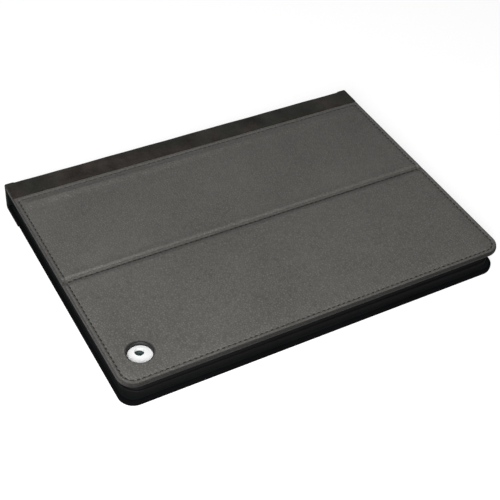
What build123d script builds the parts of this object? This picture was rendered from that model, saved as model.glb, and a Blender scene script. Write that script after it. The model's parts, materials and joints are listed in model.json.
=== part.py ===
from build123d import *
import os

# Folding case for a slim tablet, closed and lying on its front cover with the back upwards.
# X runs along the spine, Y from the free front edge to the spine, Z up from the surface it lies on.
# The origin is at the middle of the footprint. All sizes are in millimetres.

# ---------------------------------------------------------------- the tablet that the case holds
tablet_length = 240.0
tablet_width = 169.5
tablet_thickness = 7.5
tablet_corner_radius = 8.0

# ---------------------------------------------------------------- tray that grips the tablet
bay_clearance = 0.3
bay_headroom = 0.1
tray_wall = 2.0
tray_rear_wall = 1.4
tray_reveal = 2.6
tray_rim_height = 3.2
tray_ledge = 1.2
tray_shoulder_rise = 2.6
tray_shoulder_run = 2.8
tray_roof_seat = 1.0
tray_rim_round = 0.5
tray_roof_thickness = 1.3
tray_lining_thickness = 0.5
lip_thickness = 1.0
lip_overlap = 2.5

# ---------------------------------------------------------------- leather panels
panel_corner_radius = 10.0
skin_thickness = 1.4
board_thickness = 1.5
backing_thickness = 1.3
turned_edge = 1.4
edge_round = 0.45
fold_from_front = 84.4
fold_gap = 0.3
flap_gap = 0.2
seam_from_rear = 14.3

# ---------------------------------------------------------------- front cover and spine
cover_reveal = 0.3
cover_skin_thickness = 1.0
cover_board_thickness = 2.3
cover_lining_thickness = 0.8
cover_gap = 0.3
cover_suede_reach = 20.0
cover_groove_pitch = 14.0
cover_groove_count = 3
cover_groove_width = 1.6
cover_groove_depth = 0.4
cover_groove_start = 52.0
spine_board_thickness = 1.0
spine_lining_thickness = 0.6
spine_gap = 0.6
crease_gap = 0.3
spine_end_inset = 2.0

# ---------------------------------------------------------------- stitching
stitch_inset = 2.2
thread_width = 0.6
thread_depth = 0.35
seam_row_offset = 1.8
fold_row_offset = 1.6

# ---------------------------------------------------------------- camera hole
hole_from_left = 18.1
hole_from_front = 19.6
hole_diameter = 15.3
plate_overlap = 1.5
lens_from_left = 18.7
lens_from_front = 21.8
lens_aperture = 5.5
window_thickness = 0.9
lens_relief = 0.8

# ---------------------------------------------------------------- magnets
flap_magnet_diameter = 8.0
flap_magnet_thickness = 1.0
flap_magnet_spacing = 160.0
flap_magnet_from_front = 16.0
keeper_size = 12.0
keeper_thickness = 0.5
closure_magnet_length = 12.0
closure_magnet_width = 1.2
closure_magnet_height = 2.6
closure_magnet_spacing = 150.0
cover_magnet_width = 3.0
cover_magnet_thickness = 1.2
cover_magnet_setback = 3.4

# ---------------------------------------------------------------- sizes that follow
bay_length = tablet_length + 2 * bay_clearance
bay_width = tablet_width + 2 * bay_clearance
bay_height = tablet_thickness + bay_headroom
bay_radius = tablet_corner_radius + bay_clearance
spine_thickness = skin_thickness + spine_board_thickness + spine_lining_thickness
tray_front_offset = tray_reveal + tray_wall

case_width = bay_length + 2 * (tray_wall + tray_reveal)
case_depth = tray_front_offset + bay_width + tray_rear_wall + spine_gap + spine_thickness
left, right = -case_width / 2, case_width / 2
front, rear = -case_depth / 2, case_depth / 2
bay_front = front + tray_front_offset
bay_rear = bay_front + bay_width
panel_rear = rear - spine_thickness - crease_gap
fold = front + fold_from_front
seam = rear - seam_from_rear

cover_top = cover_skin_thickness + cover_board_thickness + cover_lining_thickness
lip_bottom = cover_top + cover_gap
tray_bottom = lip_bottom + lip_thickness
rim_top = tray_bottom + tray_rim_height
shoulder_start = tray_bottom + tray_shoulder_rise
bay_top = tray_bottom + bay_height
roof_bottom = bay_top + tray_lining_thickness
tray_top = roof_bottom + tray_roof_thickness
flap_bottom = tray_top + flap_gap
board_bottom = flap_bottom + backing_thickness
skin_bottom = board_bottom + board_thickness
case_top = skin_bottom + skin_thickness

hole_x, hole_y = left + hole_from_left, front + hole_from_front
lens_x, lens_y = left + lens_from_left, front + lens_from_front


def near(a, b):
    """True when two lengths are the same."""
    return abs(a - b) < 1e-6


def plan(x0, x1, y0, y1, front_radius, rear_radius=0.0):
    """Flat outline between two X and two Y values, its front and rear corners rounded."""
    width, depth = x1 - x0, y1 - y0
    face = Rectangle(width, depth)
    for end, radius in ((-1, front_radius), (1, rear_radius)):
        corners = [v for v in face.vertices() if near(v.Y, end * depth / 2) and near(abs(v.X), width / 2)]
        if radius > 0:
            face = fillet(corners, radius)
    return Pos((x0 + x1) / 2, (y0 + y1) / 2) * face


def slab(face, bottom, top):
    """Plate with the given outline between two heights."""
    return extrude(Pos(0, 0, bottom) * face, top - bottom)


def block(x0, x1, y0, y1, z0, z1):
    """Square-cornered block."""
    return slab(plan(x0, x1, y0, y1, 0), z0, z1)


def disc(x, y, diameter, bottom, top):
    """Upright round disc."""
    return slab(Pos(x, y) * Circle(diameter / 2), bottom, top)


def panel_plan(inset, y1):
    """Outline of a panel from its free front edge to y1, set in from the case's outer edge."""
    return plan(left + inset, right - inset, front + inset, y1, panel_corner_radius - inset)


def thread_loop(inset, y1, bottom):
    """Thread laid along the sides and the front of a panel, open towards y1."""
    outer = panel_plan(inset, y1)
    inner = panel_plan(inset + thread_width, y1)
    return slab(outer - inner, bottom, bottom + thread_depth)


def thread_row(x0, x1, y0, y1):
    """Straight row of thread let into the back's outer face."""
    return block(x0, x1, y0, y1, case_top - thread_depth, case_top)


def tray_ring(grow, rear_grow=None):
    """Outline of the bay grown sideways and forwards, and by its own amount at the rear."""
    back = grow if rear_grow is None else rear_grow
    radius = bay_radius + grow
    return plan(-bay_length / 2 - grow, bay_length / 2 + grow, bay_front - grow, bay_rear + back, radius, radius)


def pair(spacing):
    """The two X positions of a mirrored pair."""
    return (-spacing / 2, spacing / 2)


# ---------------------------------------------------------------- stand flap
def flap_skin():
    """Outer leather of the flap, with the camera hole and a rounded cut edge."""
    sheet = slab(panel_plan(0, fold - fold_gap), skin_bottom, case_top)
    sheet -= disc(hole_x, hole_y, hole_diameter, skin_bottom, case_top)
    edges = sheet.edges().filter_by(lambda e: near(e.bounding_box().min.Z, case_top)
                                    and e.bounding_box().min.Y < fold - fold_gap - edge_round)
    sheet = fillet(edges, edge_round)
    return sheet - flap_stitching()


def flap_stitching():
    return thread_loop(stitch_inset, fold - fold_gap - stitch_inset, case_top - thread_depth)


def flap_backing():
    """Inner leather of the flap, turned up round the board on every side."""
    y1 = fold - fold_gap
    shell = slab(panel_plan(0, y1), flap_bottom, skin_bottom)
    shell -= slab(panel_plan(turned_edge, y1 - turned_edge), board_bottom, skin_bottom)
    shell -= disc(hole_x, hole_y, hole_diameter, flap_bottom, board_bottom)
    rim = [e for e in shell.edges() if near(e.bounding_box().max.Z, flap_bottom)
           and e.bounding_box().min.Y < front + panel_corner_radius / 2]
    return fillet(rim, edge_round)


def flap_board():
    """Stiffener of the flap, pierced for the camera and the magnets."""
    sheet = slab(panel_plan(turned_edge, fold - fold_gap - turned_edge), board_bottom, skin_bottom)
    sheet -= disc(hole_x, hole_y, hole_diameter, board_bottom, skin_bottom)
    for magnet in flap_magnets():
        sheet -= magnet
    return sheet


def flap_magnets():
    y = front + flap_magnet_from_front
    return [disc(x, y, flap_magnet_diameter, board_bottom, board_bottom + flap_magnet_thickness)
            for x in pair(flap_magnet_spacing)]


# ---------------------------------------------------------------- fixed half of the back
def back_skin():
    """Outer leather from the fold to the seam."""
    sheet = block(left, right, fold, seam, skin_bottom, case_top)
    edges = sheet.edges().filter_by(Axis.Y).filter_by(lambda e: near(e.center().Z, case_top))
    sheet = fillet(edges, edge_round)
    for row in back_stitching():
        sheet -= row
    return sheet


def back_stitching():
    """Side rows, one row beside the fold and one beside the seam."""
    x0, x1 = left + stitch_inset, right - stitch_inset
    y0, y1 = fold + fold_row_offset, seam - seam_row_offset
    return [thread_row(x0, x0 + thread_width, y0, y1),
            thread_row(x1 - thread_width, x1, y0, y1),
            thread_row(x0 + 2 * thread_width, x1 - 2 * thread_width, y0, y0 + thread_width),
            thread_row(x0 + 2 * thread_width, x1 - 2 * thread_width, y1 - thread_width, y1)]


def back_suede():
    """Suede strip from the seam to the crease above the spine."""
    return block(left, right, seam, panel_rear, skin_bottom, case_top)


def back_backing():
    """Inner leather of the fixed half, bonded to the tray and turned up round the board."""
    shell = block(left, right, fold, panel_rear, tray_top, skin_bottom)
    return shell - back_board()


def back_board():
    return block(left + turned_edge, right - turned_edge, fold + turned_edge, panel_rear - turned_edge,
                 board_bottom, skin_bottom)


# ---------------------------------------------------------------- tray
def tray_frame():
    """Moulded ring that grips the tablet: upright wall, ledge, then a shoulder up to the roof."""
    wall = slab(tray_ring(tray_wall, tray_rear_wall), tray_bottom, rim_top)
    rim = [e for e in wall.edges() if near(e.bounding_box().min.Z, rim_top)]
    wall = fillet(rim, tray_rim_round)
    grow = tray_wall - tray_ledge
    shoulder = loft([Pos(0, 0, rim_top) * tray_ring(grow),
                     Pos(0, 0, tray_top) * tray_ring(grow - tray_shoulder_run)], ruled=True)
    bay = slab(tray_ring(0), tray_bottom, shoulder_start)
    taper = loft([Pos(0, 0, shoulder_start) * tray_ring(0),
                  Pos(0, 0, bay_top) * tray_ring(-tray_shoulder_run)], ruled=True)
    seat = slab(tray_ring(-tray_shoulder_run - tray_roof_seat), bay_top, tray_top)
    ring = wall + shoulder - bay - taper - seat
    for magnet in tray_magnets():
        ring -= magnet
    return ring


def tray_roof():
    """Flat plate over the tablet's back, let into the ring."""
    plate = slab(tray_ring(-tray_shoulder_run - tray_roof_seat), roof_bottom, tray_top)
    plate -= disc(hole_x, hole_y, hole_diameter + 2 * plate_overlap, roof_bottom, tray_top)
    for keeper in flap_keepers():
        plate -= keeper
    return plate


def tray_lining():
    """Microfibre against the tablet's back, relieved round the lens."""
    sheet = slab(tray_ring(-tray_shoulder_run - tray_roof_seat), bay_top, roof_bottom)
    return sheet - disc(lens_x, lens_y, lens_aperture + 2 * lens_relief, bay_top, roof_bottom)


def retaining_lip():
    """Soft lip that snaps over the edge of the tablet's face."""
    ring = slab(tray_ring(tray_wall, tray_rear_wall), lip_bottom, tray_bottom)
    return ring - slab(tray_ring(-lip_overlap), lip_bottom, tray_bottom)


def camera_plate():
    """Pale plate behind the flap's camera hole."""
    plate = disc(hole_x, hole_y, hole_diameter + 2 * plate_overlap, roof_bottom, tray_top)
    return plate - disc(lens_x, lens_y, lens_aperture, roof_bottom, tray_top)


def camera_window():
    return disc(lens_x, lens_y, lens_aperture, roof_bottom, roof_bottom + window_thickness)


def flap_keepers():
    """Thin steel plates that the flap's magnets hold on to."""
    y = front + flap_magnet_from_front
    half = keeper_size / 2
    return [block(x - half, x + half, y - half, y + half, tray_top - keeper_thickness, tray_top)
            for x in pair(flap_magnet_spacing)]


def tray_magnets():
    """Bar magnets in the tray's front wall."""
    y = bay_front - tray_wall / 2
    half_x, half_y = closure_magnet_length / 2, closure_magnet_width / 2
    return [block(x - half_x, x + half_x, y - half_y, y + half_y, tray_bottom,
                  tray_bottom + closure_magnet_height) for x in pair(closure_magnet_spacing)]


# ---------------------------------------------------------------- front cover
def cover_skin():
    """Outer nubuck of the cover, turned up round the board at the sides and the front."""
    y1 = rear - cover_suede_reach
    shell = slab(panel_plan(cover_reveal, y1), 0, cover_top)
    shell -= slab(panel_plan(cover_reveal + turned_edge, y1), cover_skin_thickness, cover_top)
    rim = [e for e in shell.edges() if near(e.bounding_box().max.Z, 0)
           and e.bounding_box().min.Y < y1 - edge_round]
    return fillet(rim, edge_round) - cover_stitching()


def cover_stitching():
    return thread_loop(stitch_inset + cover_reveal, rear - cover_suede_reach - stitch_inset, 0)


def cover_suede():
    """Suede under the cover's rear edge, turned up at the sides and at the crease."""
    shell = block(left, right, rear - cover_suede_reach, panel_rear, 0, cover_top)
    return shell - block(left + cover_reveal + turned_edge, right - cover_reveal - turned_edge,
                         rear - cover_suede_reach, panel_rear - turned_edge, cover_skin_thickness, cover_top)


def cover_inner(bottom, top):
    """Plate that fills the cover inside its turned edge."""
    return slab(panel_plan(cover_reveal + turned_edge, panel_rear - turned_edge), bottom, top)


def cover_board():
    sheet = cover_inner(cover_skin_thickness, cover_skin_thickness + cover_board_thickness)
    for magnet in cover_magnets():
        sheet -= magnet
    return sheet


def cover_magnets():
    top = cover_skin_thickness + cover_board_thickness
    y = front + cover_magnet_setback + cover_reveal
    half_x, half_y = closure_magnet_length / 2, cover_magnet_width / 2
    return [block(x - half_x, x + half_x, y - half_y, y + half_y, top - cover_magnet_thickness, top)
            for x in pair(closure_magnet_spacing)]


def cover_lining():
    """Inner lining, pressed with grooves that catch the tablet's edge when it stands."""
    bottom = cover_skin_thickness + cover_board_thickness
    sheet = cover_inner(bottom, cover_top)
    for i in range(cover_groove_count):
        y = front + cover_groove_start + i * cover_groove_pitch
        sheet -= block(left + 2 * panel_corner_radius, right - 2 * panel_corner_radius,
                       y, y + cover_groove_width, cover_top - cover_groove_depth, cover_top)
    return sheet


# ---------------------------------------------------------------- spine
def spine_suede():
    """Suede over the spine, turned in over the board's long edges."""
    shell = block(left, right, rear - spine_thickness, rear, 0, case_top)
    return shell - block(left, right, rear - spine_thickness, rear - skin_thickness,
                         skin_thickness, case_top - skin_thickness)


def spine_plate(y0, y1):
    """Upright plate inside the spine, short of both ends."""
    return block(left + spine_end_inset, right - spine_end_inset, y0, y1,
                 skin_thickness, case_top - skin_thickness)


def spine_board():
    return spine_plate(rear - skin_thickness - spine_board_thickness, rear - skin_thickness)


def spine_lining():
    return spine_plate(rear - spine_thickness, rear - skin_thickness - spine_board_thickness)


pieces = (
    flap_skin, flap_stitching, flap_backing, flap_board, flap_magnets,
    back_skin, back_stitching, back_suede, back_backing, back_board,
    tray_frame, tray_roof, tray_lining, retaining_lip, camera_plate, camera_window,
    flap_keepers, tray_magnets,
    cover_skin, cover_stitching, cover_suede, cover_board, cover_magnets, cover_lining,
    spine_suede, spine_board, spine_lining,
)

os.makedirs("parts", exist_ok=True)
for piece in pieces:
    made = piece()
    solids = [s for item in made for s in item.solids()] if isinstance(made, list) else made.solids()
    export_step(Compound(children=list(solids)), f"parts/{piece.__name__}.step")
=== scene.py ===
"""Looks for a folding tablet case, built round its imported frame.

The case lies closed on its front cover with its padded back upwards. The axes are the frame's own: X along
the spine, Y from the free edge to the spine, Z up. Lengths are in metres, and in millimetres only in the
tables of a panel's relief and shade and in lists that are multiplied by MM where they are used.
"""

import json
import logging
import math
from dataclasses import dataclass
from enum import Enum
from typing import Any, Callable, Sequence

import bmesh
import bpy
import numpy as np
from mathutils import Euler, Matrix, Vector

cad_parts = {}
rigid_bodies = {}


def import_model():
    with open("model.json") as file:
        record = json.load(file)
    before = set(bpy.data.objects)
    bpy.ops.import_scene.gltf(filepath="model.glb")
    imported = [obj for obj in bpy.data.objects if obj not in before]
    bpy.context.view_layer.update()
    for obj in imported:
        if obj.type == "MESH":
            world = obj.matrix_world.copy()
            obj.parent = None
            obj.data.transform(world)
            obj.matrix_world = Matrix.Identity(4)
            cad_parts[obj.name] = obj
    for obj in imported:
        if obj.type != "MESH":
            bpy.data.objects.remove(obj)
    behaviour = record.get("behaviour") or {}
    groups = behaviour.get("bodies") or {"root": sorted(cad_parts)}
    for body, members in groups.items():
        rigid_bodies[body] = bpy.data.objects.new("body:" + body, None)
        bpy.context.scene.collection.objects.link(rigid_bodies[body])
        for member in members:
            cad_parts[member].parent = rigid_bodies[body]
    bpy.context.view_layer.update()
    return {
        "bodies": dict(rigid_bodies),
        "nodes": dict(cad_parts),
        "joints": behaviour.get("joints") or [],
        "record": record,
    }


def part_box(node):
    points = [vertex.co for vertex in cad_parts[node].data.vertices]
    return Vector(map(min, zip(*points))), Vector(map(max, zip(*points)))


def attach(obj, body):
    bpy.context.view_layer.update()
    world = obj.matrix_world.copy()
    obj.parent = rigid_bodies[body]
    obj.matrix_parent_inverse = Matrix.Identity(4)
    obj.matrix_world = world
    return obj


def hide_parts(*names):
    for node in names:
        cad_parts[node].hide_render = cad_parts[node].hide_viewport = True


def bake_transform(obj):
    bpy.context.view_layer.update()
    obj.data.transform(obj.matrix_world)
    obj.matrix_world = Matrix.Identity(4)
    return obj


MM = 0.001
SEAM_SHIFT = 0.85 * MM  # how much nearer the free edge the leather meets the suede than in the frame
NEAR = 1e-9  # lengths closer than this count as equal
ON_FACE = math.nan  # depth that stands for the padded outer face, whose height is worked out
CORNER = 10.0 * MM  # plan radius of the back's two corners
EDGE_ANGLE = 30  # degrees; edges sharper than this stay sharp on a made-up piece
LOG = logging.getLogger("tablet_case")
Points = np.ndarray
Colour = tuple[float, float, float]


# ------------------------------------------------------------------------------------ shader tools


class Value:
    """A number or colour inside a material, with the operators that its maths needs."""

    def __init__(self, recipe: "Recipe", socket: Any) -> None:
        """Wraps one output socket of a recipe's tree."""
        self.recipe = recipe
        self.socket = socket

    def _maths(self, operation: str, other: Any) -> "Value":
        """Adds one Math node that joins this value to another value or a number."""
        return self.recipe.node("ShaderNodeMath", {"operation": operation}, {0: self, 1: other})

    def __add__(self, other: "Value") -> "Value":
        """Adds."""
        return self._maths("ADD", other)

    def __mul__(self, other: Any) -> "Value":
        """Multiplies."""
        return self._maths("MULTIPLY", other)

    __rmul__ = __mul__

    def larger(self, other: "Value") -> "Value":
        """The larger of two values."""
        return self._maths("MAXIMUM", other)


class Recipe:
    """The node tree of one material or world, built up a node at a time."""

    def __init__(self, name: str, kind: str = "materials") -> None:
        """Starts an empty tree.

        Args:
            name: name of the material or world.
            kind: which of Blender's collections it is made in.
        """
        self.material = getattr(bpy.data, kind).new(name)
        self.material.use_nodes = True
        self.tree = self.material.node_tree
        self.tree.nodes.clear()

    def node(self, kind: str, settings: dict[str, Any], inputs: dict[Any, Any], output: Any = 0) -> Value:
        """Adds a node.

        Args:
            kind: the node's type name.
            settings: its own properties; "stops" holds a colour ramp's (place, colour) pairs.
            inputs: socket name or number to a value, a number or a colour.
            output: the output socket wanted.

        Returns:
            That output.
        """
        made = self.tree.nodes.new(kind)
        for key, setting in settings.items():
            if key == "stops":
                self._stops(made.color_ramp, setting)
            else:
                setattr(made, key, setting)
        for key, given in inputs.items():
            if isinstance(given, Value):
                self.tree.links.new(given.socket, made.inputs[key])
            else:
                made.inputs[key].default_value = given
        return Value(self, made.outputs[output] if made.outputs else None)

    @staticmethod
    def _stops(ramp: Any, stops: Sequence[tuple[float, Colour]]) -> None:
        """Sets a colour ramp's stops.

        Args:
            ramp: the ramp.
            stops: each stop's place and colour.
        """
        while len(ramp.elements) < len(stops):
            ramp.elements.new(1.0)
        for element, (place, colour) in zip(ramp.elements, stops):
            element.position = place
            element.color = (*colour, 1.0)

    def place(self) -> Value:
        """The point on the piece, in metres."""
        return self.node("ShaderNodeTexCoord", {}, {}, "Object")

    def noise(self, vector: Value, scale: float, detail: float = 2.0, roughness: float = 0.5) -> Value:
        """Soft noise from 0 to 1.

        Args:
            vector: where it is read.
            scale: lumps in a metre.
            detail: octaves.
            roughness: strength of the finer octaves.

        Returns:
            The noise.
        """
        inputs = {"Vector": vector, "Scale": scale, "Detail": detail, "Roughness": roughness}
        return self.node("ShaderNodeTexNoise", {}, inputs)

    def pebbles(self, scale: float, wander: float, wander_scale: float, edge: float) -> Value:
        """The pebbles of a leather grain, 0 in the furrows between them and 1 on their tops.

        Args:
            scale: pebbles in a metre.
            wander: how far their outlines stray from a regular cell.
            wander_scale: waves of that straying in a metre.
            edge: share of a cell's width over which it rises.

        Returns:
            The pebbles.
        """
        inputs = {"Vector": self.warped(self.place(), wander_scale, wander), "Scale": scale}
        cells = self.node("ShaderNodeTexVoronoi", {"feature": "DISTANCE_TO_EDGE"}, inputs)
        return self.levels(cells, 0.0, edge, 0.0, 1.0)

    def warped(self, vector: Value, scale: float, amount: float) -> Value:
        """The vector, moved about by noise so that a pattern on it isn't regular.

        Args:
            vector: the vector.
            scale: waves of the noise in a metre.
            amount: how far it moves.

        Returns:
            The moved vector.
        """
        wander = self.node("ShaderNodeTexNoise", {}, {"Vector": vector, "Scale": scale}, "Color")
        push = self.node("ShaderNodeVectorMath", {"operation": "SCALE"}, {0: wander, "Scale": amount})
        return self.node("ShaderNodeVectorMath", {"operation": "ADD"}, {0: vector, 1: push})

    def ramp(self, fac: Value, stops: Sequence[tuple[float, Colour]]) -> Value:
        """Colours along a value."""
        return self.node("ShaderNodeValToRGB", {"stops": stops}, {"Fac": fac})

    def levels(self, value: Value, low: float, high: float, to_low: float, to_high: float) -> Value:
        """Maps a range of values to another, clamped."""
        inputs = {"Value": value, "From Min": low, "From Max": high, "To Min": to_low, "To Max": to_high}
        return self.node("ShaderNodeMapRange", {"clamp": True}, inputs)

    def two_tone(
        self, fac: Value, colour: Colour, tones: tuple[float, float], ends: tuple[float, float] = (0.3, 0.7)
    ) -> Value:
        """A darker and a lighter tone of one colour along a value, between two places on it."""
        return self.ramp(fac, tuple(zip(ends, shades(colour, *tones))))

    def mix(self, fac: Value, first: Value, second: Colour, blend: str = "MIX") -> Value:
        """A colour blended over another, by a factor."""
        settings = {"data_type": "RGBA", "blend_type": blend}
        return self.node("ShaderNodeMix", settings, {0: fac, 6: first, 7: (*second, 1.0)}, 2)

    def bump(self, height: Value, depth: float, strength: float = 1.0) -> Value:
        """Normal from a height of 0 to 1 that stands for that depth."""
        inputs = {"Height": height, "Distance": depth, "Strength": strength}
        return self.node("ShaderNodeBump", {}, inputs)

    def finish(self, fixed: dict[str, Any], varying: dict[str, Value]) -> bpy.types.Material:
        """Closes the tree with a Principled shader.

        Args:
            fixed: sockets set to one value all over.
            varying: sockets fed by patterns.

        Returns:
            The material.
        """
        shader = self.node("ShaderNodeBsdfPrincipled", {}, {**fixed, **varying})
        self.node("ShaderNodeOutputMaterial", {}, {"Surface": shader})
        return self.material


# ------------------------------------------------------------------------------------ finishes


def shades(colour: Colour, low: float, high: float) -> tuple[Colour, Colour]:
    """A darker and a lighter tone of one colour."""
    return tuple(c * low for c in colour), tuple(c * high for c in colour)


@dataclass(frozen=True)
class LeatherFinish:
    """Pebbled leather with a fine crease pattern, a slow mottle, a soft shine, and painted shade read from
    the mesh.
    """

    name: str
    colour: Colour
    specular: float = 0.24
    roughness: float = 0.52
    pebbles: float = 690.0
    pores: float = 5200.0
    grain_depth: float = 0.26 * MM
    wrinkle: float = 0.30
    mottle: float = 26.0
    tones: tuple[float, float] = (0.50, 1.25)
    # darkest tone of the painted shade in the crease attribute, as a share of the colour
    painted_shade_tone: float = 0.10

    def material(self) -> bpy.types.Material:
        """Builds the leather.

        Returns:
            The material.
        """
        recipe = Recipe(self.name)
        place = recipe.place()
        pebble = recipe.pebbles(self.pebbles, 0.9 * MM, 420.0, 0.42)
        small = recipe.pebbles(2.1 * self.pebbles, 0.4 * MM, 900.0, 0.4)
        fine = recipe.noise(place, self.pores, 3.0)
        folds = recipe.noise(recipe.warped(place, 60.0, 6 * MM), 150.0, 4.0, 0.62)
        height = 0.62 * pebble + 0.22 * small + 0.10 * fine + self.wrinkle * folds
        mottle = recipe.noise(place, self.mottle, 4.0, 0.62)
        tone = 0.34 * mottle + 0.40 * pebble + 0.26 * recipe.noise(place, 420.0, 3.0)
        dark, light = shades(self.colour, *self.tones)
        grained = recipe.ramp(tone, ((0.18, dark), (0.55, self.colour), (0.85, light)))
        # The crease attribute holds painted shade: the colour darkens with it in stitch furrows, the fold,
        # along edges and rims, and under the panel.
        crease = recipe.node("ShaderNodeAttribute", {"attribute_name": "crease"}, {}, "Fac")
        colour = recipe.mix(crease, grained, tuple(c * self.painted_shade_tone for c in self.colour))
        rough = recipe.levels(folds + 0.25 * fine, 0.3, 0.9, self.roughness - 0.07, self.roughness + 0.08)
        fixed = {"Specular IOR Level": self.specular, "Sheen Weight": 0.04, "Sheen Roughness": 0.5}
        normal = recipe.bump(height, self.grain_depth, 0.9)
        return recipe.finish(fixed, {"Base Color": colour, "Roughness": rough, "Normal": normal})


@dataclass(frozen=True)
class NapFinish:
    """Brushed nap, such as suede, nubuck or microfibre: tiny fibres, and strokes with painted sheen that
    lie light or dark.
    """

    name: str
    colour: Colour
    fibres: float = 3200.0
    depth: float = 0.07 * MM
    strokes: float = 46.0
    # how much lighter and darker the strokes are painted, standing for the nap's sheen
    painted_sheen_contrast: float = 0.38
    patches: float = 38.0
    sheen: float = 0.16
    specular: float = 0.12
    sheen_tint: Colour = (0.6, 0.58, 0.56)
    patch_tint: Colour = (1.0, 1.0, 1.0)
    patch_strength: float = 0.0

    def material(self) -> bpy.types.Material:
        """Builds the nap.

        Returns:
            The material.
        """
        recipe = Recipe(self.name)
        place = recipe.place()
        fibre = recipe.noise(place, self.fibres, 4.0, 0.7)
        tuft = recipe.noise(recipe.warped(place, 700.0, 0.8 * MM), self.fibres / 4.5, 3.0, 0.6)
        stroke = recipe.noise(recipe.warped(place, 30.0, 12 * MM), self.strokes, 4.0, 0.55)
        # The strokes paint the nap's sheen into the colour, lighter and darker; the tufts and fibres are
        # its grain.
        tone = recipe.levels(0.58 * stroke + 0.24 * tuft + 0.18 * fibre, 0.32, 0.68, 0.0, 1.0)
        dark, light = shades(self.colour, 1 - self.painted_sheen_contrast, 1 + self.painted_sheen_contrast)
        brushed = recipe.ramp(tone, ((0.0, dark), (0.5, self.colour), (1.0, light)))
        patch = recipe.noise(recipe.warped(place, 24.0, 14 * MM), self.patches)
        strength = recipe.levels(patch, 0.40, 0.60, 0.0, 1.0) * self.patch_strength
        colour = recipe.mix(strength, brushed, self.patch_tint, "MULTIPLY")
        rough = recipe.levels(fibre, 0.3, 0.7, 0.86, 0.97)
        normal = recipe.bump(0.6 * fibre + 0.4 * tuft, self.depth, 0.8)
        fixed = {
            "Specular IOR Level": self.specular,
            "Sheen Weight": self.sheen,
            "Sheen Roughness": 0.45,
            "Sheen Tint": (*self.sheen_tint, 1.0),
        }
        return recipe.finish(fixed, {"Base Color": colour, "Roughness": rough, "Normal": normal})


@dataclass(frozen=True)
class ThreadFinish:
    """Waxed thread, twisted from plies."""

    name: str
    colour: Colour

    def material(self) -> bpy.types.Material:
        """Builds the thread.

        Returns:
            The material.
        """
        recipe = Recipe(self.name)
        place = recipe.place()
        ply = recipe.noise(recipe.warped(place, 1500.0, 0.3 * MM), 3600.0, 2.0)
        colour = recipe.two_tone(ply, self.colour, (0.72, 1.25))
        rough = recipe.levels(ply, 0.3, 0.7, 0.48, 0.66)
        varying = {"Base Color": colour, "Roughness": rough, "Normal": recipe.bump(ply, 0.08 * MM)}
        return recipe.finish({"Specular IOR Level": 0.4}, varying)


@dataclass(frozen=True)
class MouldedFinish:
    """Moulded plastic or rubber with a fine spark texture and faint handling marks."""

    name: str
    colour: Colour
    roughness: float
    specular: float = 0.4
    grain_depth: float = 0.02 * MM

    def material(self) -> bpy.types.Material:
        """Builds the moulding.

        Returns:
            The material.
        """
        recipe = Recipe(self.name)
        place = recipe.place()
        spark = recipe.noise(place, 4200.0, 3.0, 0.65)
        marks = recipe.noise(recipe.warped(place, 80.0, 5 * MM), 90.0, 4.0, 0.6)
        colour = recipe.two_tone(0.7 * marks + 0.3 * spark, self.colour, (0.88, 1.14), (0.35, 0.65))
        rough = recipe.levels(marks, 0.35, 0.7, self.roughness - 0.05, self.roughness + 0.07)
        normal = recipe.bump(spark, self.grain_depth, 0.7)
        fixed = {"Specular IOR Level": self.specular}
        return recipe.finish(fixed, {"Base Color": colour, "Roughness": rough, "Normal": normal})


@dataclass(frozen=True)
class MetalFinish:
    """Thin sheet metal, satin or brushed."""

    name: str
    colour: Colour
    roughness: float
    metallic: float = 1.0
    stretch: float = 14.0

    def material(self) -> bpy.types.Material:
        """Builds the metal.

        Returns:
            The material.
        """
        recipe = Recipe(self.name)
        place = recipe.place()
        brushed = recipe.node("ShaderNodeMapping", {}, {"Vector": place, "Scale": (1.0, self.stretch, 1.0)})
        lines = recipe.noise(brushed, 900.0, 3.0, 0.6)
        colour = recipe.two_tone(lines, self.colour, (0.97, 1.02))
        rough = recipe.levels(lines, 0.3, 0.7, self.roughness - 0.05, self.roughness + 0.05)
        varying = {"Base Color": colour, "Roughness": rough, "Normal": recipe.bump(lines, 0.006 * MM, 0.5)}
        return recipe.finish({"Metallic": self.metallic}, varying)


@dataclass(frozen=True)
class WindowFinish:
    """Dark tinted acrylic, polished."""

    name: str
    colour: Colour

    def material(self) -> bpy.types.Material:
        """Builds the window.

        Returns:
            The material.
        """
        recipe = Recipe(self.name)
        smear = recipe.noise(recipe.place(), 600.0, 3.0)
        colour = recipe.two_tone(smear, self.colour, (0.7, 1.3))
        rough = recipe.levels(smear, 0.3, 0.7, 0.05, 0.12)
        fixed = {"Specular IOR Level": 0.32, "Coat Weight": 0.15, "Coat Roughness": 0.05}
        return recipe.finish(fixed, {"Base Color": colour, "Roughness": rough})


@dataclass(frozen=True)
class BoardFinish:
    """Pressed fibreboard with flecks."""

    name: str
    colour: Colour

    def material(self) -> bpy.types.Material:
        """Builds the board.

        Returns:
            The material.
        """
        recipe = Recipe(self.name)
        place = recipe.place()
        fleck = recipe.noise(recipe.warped(place, 300.0, 2 * MM), 800.0, 4.0, 0.7)
        dark, light = shades(self.colour, 0.7, 1.2)
        colour = recipe.ramp(fleck, ((0.3, dark), (0.5, self.colour), (0.75, light)))
        rough = recipe.levels(fleck, 0.3, 0.7, 0.8, 0.95)
        varying = {"Base Color": colour, "Roughness": rough, "Normal": recipe.bump(fleck, 0.08 * MM)}
        return recipe.finish({"Specular IOR Level": 0.2}, varying)


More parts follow.
